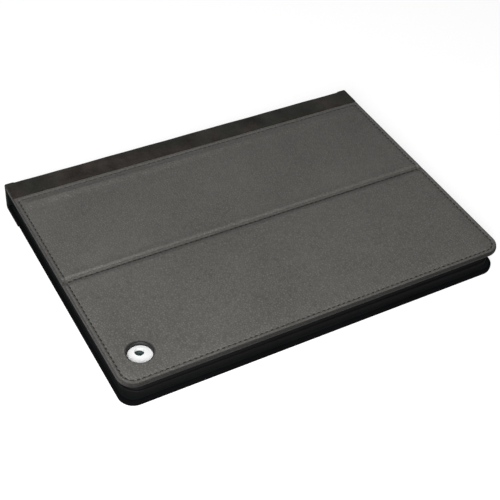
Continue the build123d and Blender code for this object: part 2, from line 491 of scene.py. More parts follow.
class Palette:
    """Every finish of the case, each made once and named by the slot or the piece that it is for."""

    FINISHES = {
        "leather": LeatherFinish("grey_leather", (0.1090, 0.1052, 0.0970)),
        # a darker, less shiny copy of the grey leather: painted shade for the turned edges
        "shaded_turned_leather": LeatherFinish("shaded_grey_leather", (0.085, 0.082, 0.076), specular=0.08),
        "suede": NapFinish(
            "brown_suede",
            (0.0305, 0.0237, 0.0205),
            strokes=75.0,
            # strong painted sheen of the brushed nap
            painted_sheen_contrast=0.85,
            patch_tint=(0.56, 0.78, 0.72),
            patch_strength=1.0,
        ),
        "nubuck": NapFinish("black_nubuck", (0.0028, 0.0028, 0.0032), sheen=0.01, specular=0.02),
        "microfibre": NapFinish(
            "teal_black_microfibre", (0.0044, 0.0062, 0.0060), fibres=4200.0, sheen=0.015, specular=0.03
        ),
        "thread": ThreadFinish("grey_thread", (0.0048, 0.0047, 0.0046)),
        "dark_thread": ThreadFinish("black_thread", (0.008, 0.008, 0.0085)),
        "fibreboard": BoardFinish("fibreboard", (0.17, 0.12, 0.075)),
        "tray_plastic": MouldedFinish("soft_touch_black", (0.0032, 0.0032, 0.0036), 0.66, 0.10),
        "soft_rubber": MouldedFinish("black_elastomer", (0.0036, 0.0036, 0.0038), 0.72, 0.10),
        "pale_metal": MetalFinish("satin_aluminium", (0.78, 0.78, 0.78), 0.5, 0.1),
        "tinted_window": WindowFinish("tinted_acrylic", (0.004, 0.020, 0.019)),
        "keeper_steel": MetalFinish("brushed_steel", (0.42, 0.42, 0.42), 0.35),
        "magnet": MetalFinish("nickel_plate", (0.55, 0.53, 0.50), 0.22),
    }

    def __init__(self) -> None:
        """Builds every finish."""
        self.made = {slot: finish.material() for slot, finish in self.FINISHES.items()}

    def dress(self, piece: bpy.types.Object, slot: str, finish: str = "") -> bpy.types.Object:
        """Gives a piece the finish of its slot, or another finish where one is named.

        Args:
            piece: the piece.
            slot: material slot of the record.
            finish: name of the finish, where it is not the slot's own.

        Returns:
            The same piece.
        """
        piece.data.materials.clear()
        piece.data.materials.append(self.made[finish or slot])
        return piece

    def dress_frame(self, frame: dict[str, Any]) -> None:
        """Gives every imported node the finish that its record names."""
        for part in frame["record"]["subparts"]:
            self.dress(frame["nodes"][part["node"]], part["material_slot"])


# ------------------------------------------------------------------------------------ mesh tools


def bump(t: Points, centre: float, width: float) -> Points:
    """A smooth hump of height 1."""
    return np.exp(-(((t - centre) / width) ** 2))


def ease(low: float, high: float, t: Points) -> Points:
    """0 below low, 1 above high, and a smooth step between."""
    s = np.clip((t - low) / (high - low), 0.0, 1.0)
    return s * s * (3 - 2 * s)


def deselect() -> None:
    """Leaves nothing selected, so that an operator acts on the new piece alone."""
    for thing in bpy.context.view_layer.objects:
        thing.select_set(False)


def mesh_piece(name: str, points: Points, faces: Sequence[Sequence[int]], angle: float) -> bpy.types.Object:
    """Makes a mesh object in place.

    Args:
        name: the piece's name.
        points: its vertices, in metres.
        faces: vertex numbers of each face, counter-clockwise from outside.
        angle: edges sharper than this, in degrees, stay sharp.

    Returns:
        The object.
    """
    mesh = bpy.data.meshes.new(name)
    mesh.from_pydata([tuple(p) for p in points], [], [tuple(f) for f in faces])
    mesh.validate()
    piece = bpy.data.objects.new(name, mesh)
    bpy.context.scene.collection.objects.link(piece)
    return smooth(piece, angle)


def smooth(piece: bpy.types.Object, angle: float) -> bpy.types.Object:
    """Shades a piece smooth except at edges sharper than the angle in degrees.

    Args:
        piece: the piece.
        angle: the angle.

    Returns:
        The same piece.
    """
    deselect()
    piece.select_set(True)
    bpy.context.view_layer.objects.active = piece
    bpy.ops.object.shade_smooth_by_angle(angle=math.radians(angle))
    return piece


def spaced(low: float, high: float, step: float) -> Points:
    """Evenly spaced values from low to high, about a step apart."""
    return np.linspace(low, high, max(2, int(round((high - low) / step)) + 1))


def joined(*runs: Points) -> Points:
    """One rising list of values from several, with shared ends kept once."""
    return np.unique(np.round(np.concatenate(runs), 9))


class Shell:
    """Vertices and faces of a piece while it is put together from rings and grids."""

    def __init__(self) -> None:
        """Starts with nothing."""
        self.places: list[Points] = []
        self.faces: list[tuple[int, ...]] = []

    def add(self, places: Points) -> Points:
        """Adds vertices and returns their numbers.

        Args:
            places: one row for each vertex.

        Returns:
            The numbers.
        """
        start = sum(len(p) for p in self.places)
        self.places.append(places)
        return np.arange(start, start + len(places))

    def strips(self, loops: Sequence[Points], flip: bool) -> None:
        """Joins closed rings of one count, each to the next; corners that fall together are merged.

        Args:
            loops: vertex numbers of each ring, counter-clockwise, from the outermost inwards.
            flip: True for faces that look down instead of up.
        """
        for outer, inner in zip(loops, loops[1:]):
            for corners in zip(outer, np.roll(outer, -1), np.roll(inner, -1), inner):
                face = list(dict.fromkeys(int(corner) for corner in corners))
                if len(face) > 2:
                    self.faces.append(tuple(face[::-1] if flip else face))

    def cells(self, grid: Points, flip: bool, left_out: Sequence[int] = (0, 0, 0, 0)) -> None:
        """Fills a grid with quads.

        Args:
            grid: vertex numbers, by column and row.
            flip: True for faces that look down instead of up.
            left_out: first and last column and row of a square that stays open.
        """
        i0, i1, j0, j1 = left_out
        for i in range(grid.shape[0] - 1):
            for j in range(grid.shape[1] - 1):
                if i0 <= i < i1 and j0 <= j < j1:
                    continue
                quad = (grid[i, j], grid[i + 1, j], grid[i + 1, j + 1], grid[i, j + 1])
                self.faces.append(tuple(int(q) for q in (quad[::-1] if flip else quad)))


def select_vertices(mesh: Any, wanted: Callable[[Vector], bool]) -> None:
    """In edit mode, selects the vertices that a test picks, with the edges and faces between them.

    Args:
        mesh: the mesh in edit mode.
        wanted: the test of a vertex's place.
    """
    draft = bmesh.from_edit_mesh(mesh)
    for vertex in draft.verts:
        vertex.select_set(wanted(vertex.co))
    draft.select_flush(True)
    draft.select_flush(False)
    bmesh.update_edit_mesh(mesh)


class EditedPiece:
    """A primitive that is shaped in edit mode by operators, then finished."""

    def __init__(self, name: str, add: Callable[..., Any], **size: Any) -> None:
        """Adds the primitive and opens it for editing.

        Args:
            name: the piece's name.
            add: the primitive's operator.
            size: the operator's own sizes.
        """
        deselect()
        add(**size)
        self.piece = bpy.context.object
        self.piece.name = name
        self.piece.data.name = name
        bpy.ops.object.transform_apply(location=True, rotation=True, scale=True)
        bpy.ops.object.mode_set(mode="EDIT")

    def select(self, wanted: Callable[[Vector], bool], mode: str = "VERT") -> None:
        """Selects by place.

        Args:
            wanted: the test of a vertex's place.
            mode: what is selected, as vertices, edges or faces.
        """
        bpy.ops.mesh.select_mode(type=mode)
        bpy.ops.mesh.select_all(action="DESELECT")
        bpy.ops.mesh.select_mode(type="VERT")
        select_vertices(self.piece.data, wanted)
        bpy.ops.mesh.select_mode(type=mode)

    def done(self, angle: float) -> bpy.types.Object:
        """Leaves edit mode with the normals outwards and the piece shaded.

        Args:
            angle: edges sharper than this, in degrees, stay sharp.

        Returns:
            The finished piece.
        """
        bpy.ops.mesh.select_all(action="SELECT")
        bpy.ops.mesh.remove_doubles(threshold=0.001 * MM)
        bpy.ops.mesh.normals_make_consistent(inside=False)
        bpy.ops.object.mode_set(mode="OBJECT")
        return smooth(self.piece, angle)


def drum(
    name: str,
    axis: "Vector | Hole",
    levels: tuple[float, float],
    radius: float,
    sides: int = 72,
    **more: str,
) -> EditedPiece:
    """An upright cylinder, open for editing.

    Args:
        name: the piece's name.
        axis: what it stands round, with an x and a y.
        levels: Z of its lower and upper ends.
        radius: its radius.
        sides: faces round it.
        more: further settings of the cylinder's operator.

    Returns:
        The cylinder.
    """
    low, high = levels
    size = {"radius": radius, "depth": high - low, "location": (axis.x, axis.y, (low + high) / 2)}
    return EditedPiece(name, bpy.ops.mesh.primitive_cylinder_add, vertices=sides, **size, **more)


def rounded_block(
    name: str, low: Vector, high: Vector, corner: float, edges: tuple[float, float], segments: int = 4
) -> bpy.types.Object:
    """A plate with rounded plan corners at its free edge and rounded edges all round.

    Args:
        name: the piece's name.
        low: its lowest corner.
        high: its highest corner.
        corner: radius of the two plan corners at low Y; 0 for square.
        edges: radii of the lower and the upper edges.
        segments: steps in each edge.

    Returns:
        The plate.
    """
    centre = (low + high) / 2
    foot = (centre.x, centre.y, low.z)
    draft = EditedPiece(name, bpy.ops.mesh.primitive_plane_add, size=1.0, location=foot)
    bpy.ops.mesh.select_all(action="SELECT")
    bpy.ops.transform.resize(value=(high.x - low.x, high.y - low.y, 1.0), center_override=foot)
    if corner > 0:
        draft.select(lambda p: p.y < centre.y)
        bpy.ops.mesh.bevel(offset=corner, segments=14, affect="VERTICES")
    bpy.ops.mesh.select_all(action="SELECT")
    bpy.ops.mesh.extrude_region_move(TRANSFORM_OT_translate={"value": (0, 0, high.z - low.z)})
    for level, radius in zip((low.z, high.z), edges):
        draft.select(lambda p: abs(p.z - level) < 0.01 * MM, "EDGE")
        bpy.ops.mesh.region_to_loop()
        bpy.ops.mesh.bevel(offset=radius, segments=segments, affect="EDGES")
    return draft.done(EDGE_ANGLE)


def punch(piece: bpy.types.Object, axis: "Vector | Hole", radius: float) -> None:
    """Cuts a round upright hole right through a piece.

    Args:
        piece: the piece.
        axis: what the hole stands round, with an x and a y.
        radius: the hole's radius.
    """
    low, high = Vector(piece.bound_box[0]).z, Vector(piece.bound_box[6]).z
    reach = high - low
    cutter = drum("cutter", axis, (low - reach, high + reach), radius).done(EDGE_ANGLE)
    hole = piece.modifiers.new("hole", "BOOLEAN")
    hole.operation = "DIFFERENCE"
    hole.object = cutter
    deselect()
    piece.select_set(True)
    bpy.context.view_layer.objects.active = piece
    bpy.ops.object.modifier_apply(modifier=hole.name)
    bpy.data.objects.remove(cutter)
    smooth(piece, EDGE_ANGLE)


def near_free_edge(inward: Points) -> Points:
    """1 at the free edge, fading to 0 some way in from it."""
    return 1 - ease(1.0 * MM, 9.0 * MM, inward)


def write_painted_shade(piece: bpy.types.Object, values: Points) -> None:
    """Writes the leather's crease attribute, which holds painted shade, one value for each vertex."""
    crease = piece.data.attributes.new("crease", "FLOAT", "POINT")
    crease.data.foreach_set("value", values.astype(np.float32))


def paint_shade_downwards(piece: bpy.types.Object, top: float, bottom: float, shares: tuple[float, float, float]) -> None:
    """Writes painted shade into the leather's crease attribute on a piece, deepening from its top
    downwards.

    Args:
        piece: the piece.
        top: Z at and above which the first shares hold.
        bottom: Z at and below which the last share holds.
        shares: painted shade at the top of the sides, at the top of the free edge, and at the bottom.
    """
    points = np.array([v.co for v in piece.data.vertices])
    free = near_free_edge(points[:, 1] - points[:, 1].min())
    upper = shares[0] + (shares[1] - shares[0]) * free
    write_painted_shade(piece, upper + (shares[2] - upper) * ease(0.0, 1.0, (top - points[:, 2]) / (top - bottom)))


# ------------------------------------------------------------------------------------ padded panels


class Facing(Enum):
    """Which way a panel's outer face looks."""

    UP = 1
    DOWN = -1


@dataclass(frozen=True)
class Outline:
    """Plan of a panel: rounded corners at the free edge and square ones at the rear."""

    x0: float
    x1: float
    y0: float
    y1: float
    radius: float

    def side_distance(self, x: Points, y: Points) -> Points:
        """Distance inwards from the sides and the free edge.

        Args:
            x: places along the spine.
            y: places across it.

        Returns:
            The distance at each place.
        """
        dx, dy = np.minimum(x - self.x0, self.x1 - x), y - self.y0
        corner = (dx < self.radius) & (dy < self.radius)
        curved = self.radius - np.hypot(self.radius - dx, self.radius - dy)
        return np.where(corner, curved, np.minimum(dx, dy))

    def rear_distance(self, y: Points) -> Points:
        """Distance inwards from the rear edge."""
        return self.y1 - y

    def path(self, inset: float, radius: float, side_y: Points, front_x: Points, turn: Points) -> Points:
        """A line at an inset, from the rear left corner by the free edge to the rear right corner.

        Args:
            inset: distance in from the outline.
            radius: radius of the line's own corners.
            side_y: its places along the sides, from the front backwards.
            front_x: its places along the free edge.
            turn: angles of its places round a corner, within a quarter turn.

        Returns:
            Its places.
        """
        x0, x1, y0 = self.x0 + inset, self.x1 - inset, self.y0 + inset
        near, far = radius * (1 - np.cos(turn)), radius * (1 - np.sin(turn))
        stretches = (
            (np.full(len(side_y), x0), side_y[::-1]),
            (x0 + near, y0 + far),
            (front_x, np.full(len(front_x), y0)),
            (x1 - far, y0 + near),
            (np.full(len(side_y), x1), side_y),
        )
        return np.vstack([np.column_stack(stretch) for stretch in stretches])


@dataclass(frozen=True)
class Hole:
    """A round hole with a rolled rim."""

    x: float
    y: float
    radius: float
    roll: float = 0.9 * MM
    reach: float = 10.0 * MM

    def distance(self, x: Points, y: Points) -> Points:
        """Distance outwards from the hole's edge."""
        return np.hypot(x - self.x, y - self.y) - self.radius


def quarter_round(distance: Points, radius: float) -> Points:
    """How far a rounded edge has dropped at a distance in from it."""
    t = np.clip(1 - distance / radius, 0.0, 1.0)
    return radius * (1 - np.sqrt(1 - t * t))


@dataclass(frozen=True)
class Swell:
    """A smooth hump along a distance, or a hollow where its rise is negative; places in millimetres."""

    at: float
    width: float
    rise: float

    def over(self, t: Points) -> Points:
        """Its rise at each distance, in the rise's own unit."""
        return self.rise * bump(t, self.at * MM, self.width * MM)


@dataclass(frozen=True)
class Slope:
    """A smooth step along a distance, down where its rise is negative; places in millimetres."""

    start: float
    end: float
    rise: float = 1.0

    def over(self, t: Points) -> Points:
        """Its rise at each distance, in the rise's own unit."""
        return self.rise * ease(self.start * MM, self.end * MM, t)


@dataclass(frozen=True)
class Relief:
    """Padding of a panel and what is pressed or sewn into it; rises in millimetres.

    The crown starts at the stitch row, beads and the groove lie at distances in from the edges, and the
    ridge beside the seam loses a share of its height from left to right. The fold runs from the flap to
    the fixed half: a soft slope down, a stitched valley, a low welt, and a padded lip that rises and
    falls away behind it.
    """

    crown: Slope = Slope(0.3, 5.0, 0.28)
    edge_bead: Swell = Swell(1.25, 0.8, 0.16)
    rear_bead: Swell = Swell(1.6, 0.9, 0.18)
    rear_groove: Swell = Swell(3.1, 0.6, -0.26)
    rear_ridge: tuple[Swell, ...] = (Swell(8.9, 2.3, 1.45), Swell(5.0, 1.5, -0.2175))
    ridge_loss: float = 0.75
    fold: tuple[Swell | Slope, ...] = (
        Slope(-3.8, 0.0, -0.95),
        Swell(0.45, 0.55, -0.36),
        Slope(0.8, 1.7, 0.30),
        Slope(2.3, 4.0, 0.84),
        Slope(4.2, 8.5, -0.50),
    )
    hole_dip: Swell = Swell(3.1, 1.0, -0.10)


@dataclass(frozen=True)
class Shade:
    """How much painted shade darkens a panel's outer face, under face and turned sides, from 0 to 1."""

    # Painted shade in the stitch furrows, along the edges (fullest at the free edge, which lies in shade),
    # down the fold, round the hole's rim, and over the under face and turned sides.
    row: float = 0.24
    row_width: float = 0.6 * MM
    side_edge: float = 0.72
    free_edge: float = 1.0
    edge_fade: Slope = Slope(0.15, 0.95)
    rear_row: Swell = Swell(3.1, 0.6, 0.22)
    fold_valley: Swell = Swell(0.5, 0.85, 0.74)
    fold_sides: tuple[Slope, Slope] = (Slope(-3.2, -0.4, 0.13), Slope(1.6, 3.0))
    rim: float = 0.9
    rim_fade: Slope = Slope(0.0, 0.9)
    under_face: float = 0.9


@dataclass
class PaddedPanel:
    """A padded leather panel: soft crown, stitched border, rolled edge and, where given, fold and hole.

    The border is a set of rings at growing distances from the outline, and the middle is a grid that
    shares the innermost ring. The round hole has rings of its own inside one square of the grid.
    """

    name: str
    outline: Outline
    level: float
    facing: Facing
    thickness: float
    stitch_inset: float
    fold: float | None = None
    hole: Hole | None = None
    wrap: tuple[tuple[float, float], ...] = ()
    pocket: float = 1.5 * MM
    sink: float = 0.0
    relief: Relief = Relief()
    shade: Shade = Shade()
    sewn_to_suede: bool = True
    row_shift: float = 0.5 * MM
    furrow: float = 0.46 * MM
    furrow_width: float = 0.48 * MM
    edge_roll: float = 0.74 * MM
    rear_roll: float = 0.5 * MM
    border: float = 7.0 * MM
    ring_blend: float = 15.4 * MM
    grid_step: float = 1.35 * MM
    fold_step: float = 0.22 * MM
    fold_reach: tuple[float, float] = (4.0 * MM, 5.0 * MM)
    arc_steps: int = 14
    true_rings: tuple[float, ...] = (
        *(0, 0.08, 0.2, 0.4, 0.7, 1.1, 1.5),
        *(1.85, 2.15, 2.45, 2.75, 3.1, 3.6, 4.5),
    )
    closing_rings: tuple[tuple[float, float], ...] = ((5.3, 0.62), (6.1, 0.3))
    hole_rings: tuple[float, ...] = (1.5, 1.2, 0.9, 0.62, 0.38, 0.2, 0.07, 0.0)
    hole_lead: float = 1.8 * MM

    @property
    def row(self) -> float:
        """Distance of the border's stitch row from the edge."""
        return self.stitch_inset + self.row_shift

    def height(self, x: Points, y: Points) -> Points:
        """Height of the outer face over its nominal level.

        Args:
            x: places along the spine.
            y: places across it.

        Returns:
            The height at each place.
        """
        side, rear, relief = self.outline.side_distance(x, y), self.outline.rear_distance(y), self.relief
        h = MM * relief.crown.over(np.minimum(side, rear) - self.row)
        h += MM * relief.edge_bead.over(side) - quarter_round(side, self.edge_roll)
        h -= self.furrow * bump(side, self.row, self.furrow_width) * Slope(0.2, 1.5).over(rear)
        h -= quarter_round(rear, self.rear_roll)
        h += MM * relief.rear_groove.over(rear) * Slope(1.2, 2.6).over(side)
        if self.sewn_to_suede:
            span = (x - self.outline.x0) / (self.outline.x1 - self.outline.x0)
            ridge = sum(part.over(rear) for part in relief.rear_ridge)
            ridge *= (1.0 - relief.ridge_loss * ease(0.0, 1.0, span)) * Slope(3, 9).over(side)
            h += MM * (relief.rear_bead.over(rear) + ridge)
        if self.fold is not None:
            crease = sum(part.over(y - self.fold) for part in relief.fold)
            h += MM * crease * Slope(-0.2, 1.4).over(side)
        if self.hole is not None:
            out = self.hole.distance(x, y)
            h += MM * relief.hole_dip.over(out) - quarter_round(out, self.hole.roll)
        return h - self.sink

    def crease(self, x: Points, y: Points) -> Points:
        """How much painted shade darkens the outer face, from 0 to 1.

        Args:
            x: places along the spine.
            y: places across it.

        Returns:
            The darkness at each place.
        """
        side, shade = self.outline.side_distance(x, y), self.shade
        edge = shade.side_edge + (shade.free_edge - shade.side_edge) * near_free_edge(y - self.outline.y0)
        dark = shade.row * bump(side, self.row, shade.row_width) + edge * (1 - shade.edge_fade.over(side))
        if self.sewn_to_suede:
            dark = np.maximum(dark, shade.rear_row.over(self.outline.rear_distance(y)))
        if self.fold is not None:
            t = y - self.fold
            dark = np.maximum(dark, shade.fold_valley.over(t))
            down, up = shade.fold_sides
            dark = np.maximum(dark, down.over(t) * (1 - up.over(t)))
        if self.hole is not None:
            rim = 1 - shade.rim_fade.over(self.hole.distance(x, y))
            dark = np.maximum(dark, shade.rim * rim)
        return np.clip(dark, 0.0, 1.0)

    def grid_lines(self) -> tuple[Points, Points]:
        """Grid lines of the middle along X and Y, close together at the fold and fitted to the hole.

        Returns:
            The X lines and the Y lines.
        """
        o, b, step = self.outline, self.border, self.grid_step
        x_stops, y_stops = [o.x0 + b, o.x1 - b], [o.y0 + b, o.y1 - b]
        if self.hole is not None:
            x_stops += [self.hole.x - self.hole.reach, self.hole.x + self.hole.reach]
            y_stops += [self.hole.y - self.hole.reach, self.hole.y + self.hole.reach]
        if self.fold is not None:
            y_stops += [self.fold - self.fold_reach[0], self.fold + self.fold_reach[1]]
        x_stops, y_stops = sorted(x_stops), sorted(y_stops)
        xs = joined(*(spaced(a, c, step) for a, c in zip(x_stops, x_stops[1:])))
        runs = []
        for a, c in zip(y_stops, y_stops[1:]):
            fine = self.fold is not None and a < self.fold < c
            runs.append(spaced(a, c, self.fold_step if fine else step))
        return xs, joined(*runs)

    def ring(
        self, inset: float, radius: float, xs: Points, ys: Points, rear_inset: float | None = None
    ) -> Points:
        """One ring of places at an inset, starting at the rear left corner and going by the free edge.

        Args:
            inset: distance in from the outline.
            radius: corner radius of this ring.
            xs: the grid's X lines.
            ys: the grid's Y lines.
            rear_inset: distance in at the rear, where it differs.

        Returns:
            An array of places.
        """
        o = self.outline
        back = inset if rear_inset is None else rear_inset
        reach, corner = self.ring_blend, inset + radius

        def stretch(v: Points, new_low: float, new_high: float) -> Points:
            """Moves a line's end stretches so that it ends where the ring does.

            Args:
                v: the line.
                new_low: where it is to start.
                new_high: where it is to end.

            Returns:
                The moved line.
            """
            low_knee, high_knee = v[0] + reach, v[-1] - reach
            down = low_knee - (low_knee - v) * (low_knee - new_low) / reach
            up = high_knee + (v - high_knee) * (new_high - high_knee) / reach
            return np.where(v < low_knee, down, np.where(v > high_knee, up, v))

        side_y = stretch(ys, o.y0 + corner, o.y1 - back)
        front_x = stretch(xs, o.x0 + corner, o.x1 - corner)
        rear_x = stretch(xs, o.x0 + inset, o.x1 - inset)
        turn = np.linspace(0, math.pi / 2, self.arc_steps + 2)[1:-1]
        rear = np.column_stack([rear_x[-2:0:-1], np.full(len(xs) - 2, o.y1 - back)])
        return np.vstack([o.path(inset, radius, side_y, front_x, turn), rear])

    def build(self) -> bpy.types.Object:
        """Builds the closed panel: outer face, under face, and the edge turned up between them.

        Returns:
            The panel, in place.
        """
        xs, ys = self.grid_lines()
        shell = Shell()
        outer, outer_rim = self._face(shell, xs, ys, 0.0, ON_FACE)
        under, under_rim = self._face(shell, xs, ys, self.pocket, self.thickness)
        rear_start = 2 * len(ys) + 2 * self.arc_steps + len(xs)
        turned = [outer]
        for out, depth in self.wrap:
            plan = self.ring(out, self.outline.radius - out, xs, ys, 0.0)
            drop = np.full(len(plan), depth)
            drop[rear_start:] = min(depth, self.thickness)
            turned.append(self._put(shell, plan, drop))
        shell.strips([*turned, under], True)
        if self.hole is not None:
            shell.strips([outer_rim, under_rim], False)
        return self._finish(shell)

    @staticmethod
    def _put(shell: Shell, plan: Points, drop: float | Points) -> Points:
        """Adds places at a depth, or on the outer face, and returns their numbers."""
        return shell.add(np.column_stack([plan, np.broadcast_to(drop, len(plan))]))

    def _face(
        self, shell: Shell, xs: Points, ys: Points, lowest: float, drop: float
    ) -> tuple[Points, Points | None]:
        """One face of the panel, from the ring at an inset to the middle.

        Args:
            shell: the piece so far.
            xs: the grid's X lines.
            ys: the grid's Y lines.
            lowest: inset of its outermost ring.
            drop: its depth under the nominal level, or ON_FACE for the outer face.

        Returns:
            The outermost ring, and the ring round the hole.
        """
        flip = not math.isnan(drop)
        plan = np.column_stack([np.repeat(xs, len(ys)), np.tile(ys, len(xs))])
        grid = self._put(shell, plan, drop).reshape(len(xs), len(ys))
        left_turn, right_turn = (np.full(self.arc_steps, grid[i, 0]) for i in (0, -1))
        sides = [grid[0, ::-1], left_turn, grid[:, 0], right_turn, grid[-1, :], grid[-2:0:-1, -1]]
        loops = [self._put(shell, self.ring(*ring, xs, ys), drop) for ring in self._rings(lowest)]
        shell.strips([*loops, np.concatenate(sides)], flip)
        if self.hole is None:
            shell.cells(grid, flip)
            return loops[0], None
        h = self.hole
        wanted = ((xs, h.x - h.reach), (xs, h.x + h.reach), (ys, h.y - h.reach), (ys, h.y + h.reach))
        i0, i1, j0, j1 = (int(np.argmin(np.abs(lines - value))) for lines, value in wanted)
        shell.cells(grid, flip, (i0, i1, j0, j1))
        square = [grid[i0:i1, j0], grid[i1, j0:j1], grid[i1:i0:-1, j1], grid[i0, j1:j0:-1]]
        return loops[0], self._hole_rings(shell, np.concatenate(square), drop, flip)

    def _rings(self, lowest: float) -> list[tuple[float, float]]:
        """Insets and corner radii of the border's rings, from the outermost inwards.

        Args:
            lowest: inset of the outermost ring.

        Returns:
            Each ring's inset and radius.
        """
        insets = [v * MM for v in self.true_rings]
        corner = self.outline.radius
        rings = [(inset, corner - inset) for inset in insets if inset >= lowest - NEAR]
        return rings + [(inset * MM, (corner - insets[-1]) * share) for inset, share in self.closing_rings]

    def _hole_rings(self, shell: Shell, loop: Points, drop: float, flip: bool) -> Points:
        """Rings that lead from a square of the grid to the hole's edge.

        Args:
            shell: the piece so far.
            loop: the square's vertex numbers, counter-clockwise.
            drop: the face's depth, or ON_FACE for the outer face.
            flip: True for the face that looks the other way.

        Returns:
            The ring at the hole's edge.
        """
        h = self.hole
        square = np.vstack(shell.places)[loop, :2] - (h.x, h.y)
        angle = np.arctan2(square[:, 1], square[:, 0])
        way = np.column_stack([np.cos(angle), np.sin(angle)])
        first = (h.radius + self.hole_lead) * way
        plans = [square + (first - square) * share for share in (0.35, 0.7, 1.0)]
        plans += [(h.radius + out * MM) * way for out in self.hole_rings]
        loops = [loop] + [self._put(shell, plan + (h.x, h.y), drop) for plan in plans]
        shell.strips(loops, flip)
        return loops[-1]

    def _finish(self, shell: Shell) -> bpy.types.Object:
        """Turns the places and their depths into the piece, without the places that no face uses.

        Args:
            shell: the places and faces.

        Returns:
            The piece.
        """
        x, y, drop = np.vstack(shell.places).T
        outer = np.isnan(drop)
        over = np.where(outer, self.height(x, y), -np.nan_to_num(drop))
        points = np.column_stack([x, y, self.level + self.facing.value * over])
        faces = [face[:: self.facing.value] for face in shell.faces]
        used = np.unique(np.concatenate([np.asarray(face) for face in faces]))
        renumber = np.full(len(points), -1)
        renumber[used] = np.arange(len(used))
        piece = mesh_piece(self.name, points[used], [tuple(renumber[list(face)]) for face in faces], 50)
        # Painted shade: worked out on the outer face, and dark all over the under face and turned sides.
        dark = np.where(outer, self.crease(x, y), self.shade.under_face)
        write_painted_shade(piece, dark[used])
        return piece

    def row_point(self, x: float, y: float) -> Vector:
        """The point on the outer face at a place."""
        h = float(self.height(np.array([x]), np.array([y]))[0])
        return Vector((x, y, self.level + self.facing.value * h))


# ------------------------------------------------------------------------------------ stitching


@dataclass
class Seamstress:
    """Sews rows of separate stitches along lines on a panel."""

    pitch: float = 3.35 * MM
    length: float = 2.2 * MM
    width: float = 1.0 * MM
    depth: float = 0.46 * MM
    slant: float = 9.0
    proud: float = 0.10 * MM
    feel: float = 0.2 * MM
    blunt: float = 0.7
    sag: float = 0.25

    def stitch(self) -> tuple[Points, list[tuple[int, ...]]]:
        """One stitch, lying along X and centred on the origin.

        Returns:
            Its vertices and faces.
        """
        deselect()
        quarter_turn = (0, math.pi / 2, 0)
        bpy.ops.mesh.primitive_uv_sphere_add(segments=8, ring_count=6, radius=0.5, rotation=quarter_turn)
        ball = bpy.context.object
        bpy.ops.object.transform_apply(location=True, rotation=True, scale=True)
        points = np.array([v.co for v in ball.data.vertices])
        faces = [tuple(p.vertices) for p in ball.data.polygons]
        bpy.data.objects.remove(ball)
        points[:, 0] = np.sign(points[:, 0]) * np.abs(points[:, 0] * 2) ** self.blunt / 2
        points *= (self.length, self.width, self.depth)
        points[:, 2] -= self.sag * self.depth * (2 * points[:, 0] / self.length) ** 2
        return points, faces

    def sew(self, name: str, panel: PaddedPanel, lines: Sequence[Points]) -> bpy.types.Object:
        """Sews along lines.

        Args:
            name: the piece's name.
            panel: the panel that the stitches lie on.
            lines: each line's places, close together.

        Returns:
            All the stitches as one piece.
        """
        shape, faces = self.stitch()
        points, all_faces = [], []
        for line in lines:
            run = np.concatenate([[0], np.cumsum(np.hypot(*np.diff(line, axis=0).T))])
            count = max(1, int(run[-1] // self.pitch))
            start = (run[-1] - (count - 1) * self.pitch) / 2
            for i in range(count):
                at = start + i * self.pitch
                spots = (at, max(at - self.feel, 0.0), min(at + self.feel, run[-1]))
                xs, ys = (np.interp(spots, run, way) for way in line.T)
                angle = math.atan2(ys[2] - ys[1], xs[2] - xs[1]) + math.radians(self.slant)
                c, s = math.cos(angle), math.sin(angle)
                turned = shape @ np.array([[c, s, 0], [-s, c, 0], [0, 0, 1]])
                turned[:, 2] *= panel.facing.value
                proud = Vector((0, 0, panel.facing.value * self.proud))
                seat = panel.row_point(float(xs[0]), float(ys[0])) + proud
                order = [face[:: panel.facing.value] for face in faces]
                base = len(points) * len(shape)
                all_faces += [tuple(v + base for v in f) for f in order]
                points.append(turned + np.array(seat))
        return mesh_piece(name, np.vstack(points), all_faces, 60)


def border_line(outline: Outline, inset: float, rear: float, step: float = 0.5 * MM) -> Points:
    """A line at an inset from a panel's sides and free edge, open at the rear.

    Args:
        outline: the panel's plan.
        inset: distance in.
        rear: Y where the line starts and ends.
        step: spacing of its places.

    Returns:
        Its places, from the left side by the free edge to the right side.
    """
    x0, x1 = outline.x0 + outline.radius, outline.x1 - outline.radius
    side_y = spaced(outline.y0 + outline.radius, rear, step)
    turn = np.linspace(0, math.pi / 2, 24)
    return outline.path(inset, outline.radius - inset, side_y, spaced(x0, x1, step), turn)


def straight_line(x0: float, x1: float, y: float) -> Points:
    """A line along X."""
    xs = spaced(x0, x1, 0.5 * MM)
    return np.column_stack([xs, np.full(len(xs), y)])


# ------------------------------------------------------------------------------------ sub-assemblies


